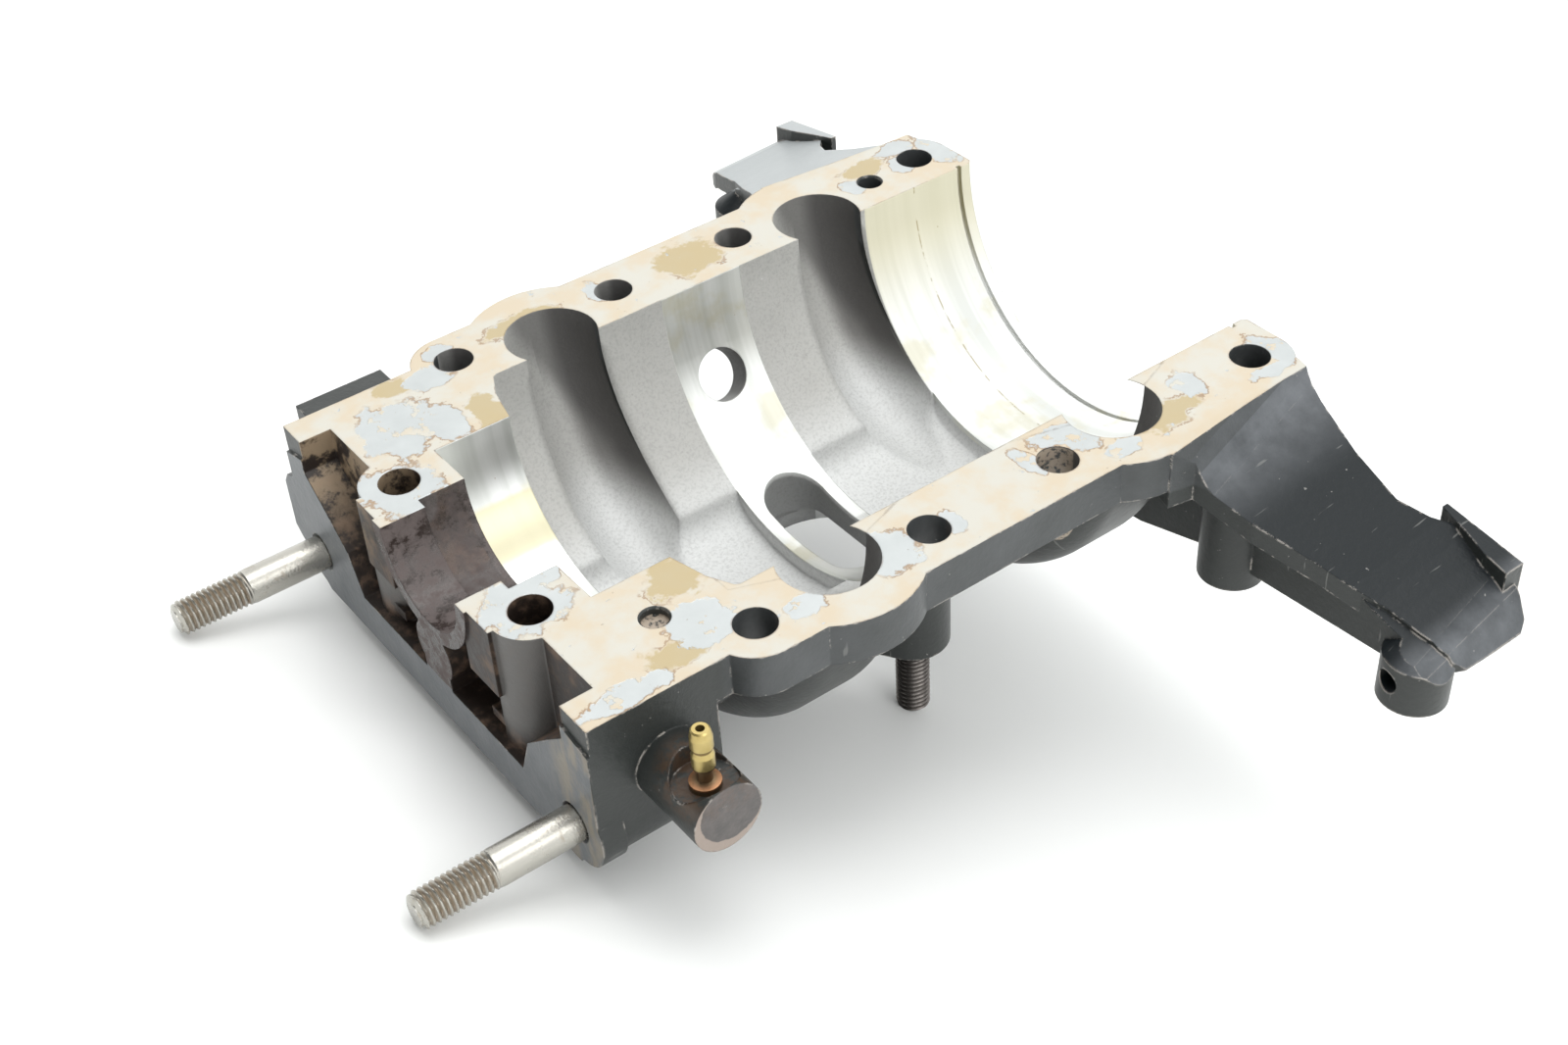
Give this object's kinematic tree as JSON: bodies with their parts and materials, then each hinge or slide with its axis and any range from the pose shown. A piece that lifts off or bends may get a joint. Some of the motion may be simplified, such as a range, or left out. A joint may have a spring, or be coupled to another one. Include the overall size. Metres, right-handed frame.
{
  "type": "engine crankcase half",
  "caption": "Half of a split engine crankcase, with half-round bearing seats, crank chambers, transfer channels, a bolted joint rail, an intake flange and side arms.",
  "frame": {"origin": "on the crank axis, in the joint face, at the middle of the centre main bearing seat", "axes": "+X along the crank axis towards the upper end, +Y towards the rail without the bleed fitting, +Z out of the joint face towards the other half"},
  "size_m": [0.2219, 0.2614, 0.079],
  "materials": {
    "casting": "cast aluminium, black paint outside, bare machined joint face and bearing seats",
    "base_stud": "satin, worn",
    "intake_stud": "dark, oily thread",
    "nipple": "worn, oily at the base"
  },
  "bodies": {
    "root": {"crankcase_casting": "casting", "base_stud_near": "base_stud", "base_stud_far": "base_stud", "intake_stud_near": "intake_stud", "intake_stud_far": "intake_stud", "bleed_nipple": "nipple"}
  },
  "joints": []
}
